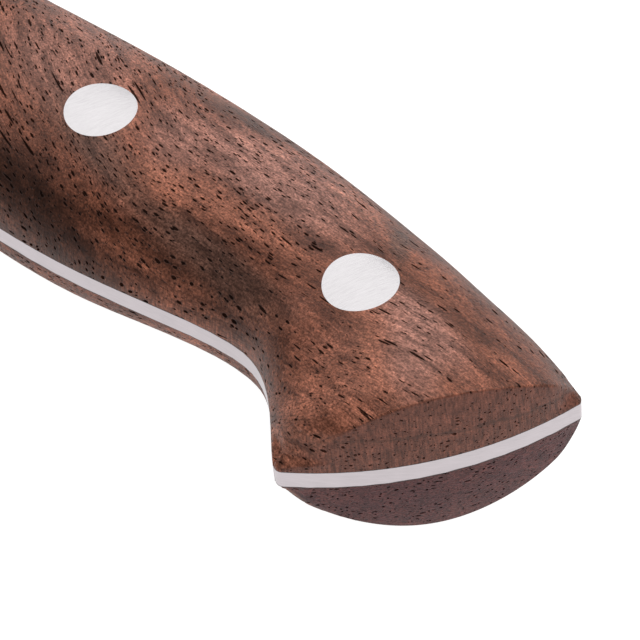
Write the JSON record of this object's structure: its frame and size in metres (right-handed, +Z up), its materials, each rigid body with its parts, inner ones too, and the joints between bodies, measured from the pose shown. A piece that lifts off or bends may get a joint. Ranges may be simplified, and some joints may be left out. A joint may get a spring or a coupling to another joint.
{
  "type": "boning knife",
  "caption": "Forged knife with a narrow blade, bolster and full tang, and a curved, hooked wooden handle held by flush steel rivets.",
  "frame": {"origin": "under the middle of the knife as it lies on its side: the centre of its box in X and Y, and its lowest point in Z", "axes": "+X along the knife from the blade tip to the butt, +Y from the cutting edge to the spine, +Z up, across the thickness of the knife, so that the cutting edge faces -Y"},
  "size_m": [0.2704, 0.0312, 0.0185],
  "materials": {
    "blade_steel": "satin",
    "rivet_steel": "fine satin",
    "walnut": "oiled, open pores",
    "epoxy": "cured adhesive"
  },
  "bodies": {
    "root": {"blade_bolster_tang": "blade_steel", "left_scale": "walnut", "right_scale": "walnut", "left_bond_line": "epoxy", "right_bond_line": "epoxy", "front_rivet_post": "rivet_steel", "front_rivet_sleeve": "rivet_steel", "middle_rivet_post": "rivet_steel", "middle_rivet_sleeve": "rivet_steel", "rear_rivet_post": "rivet_steel", "rear_rivet_sleeve": "rivet_steel"}
  },
  "joints": []
}
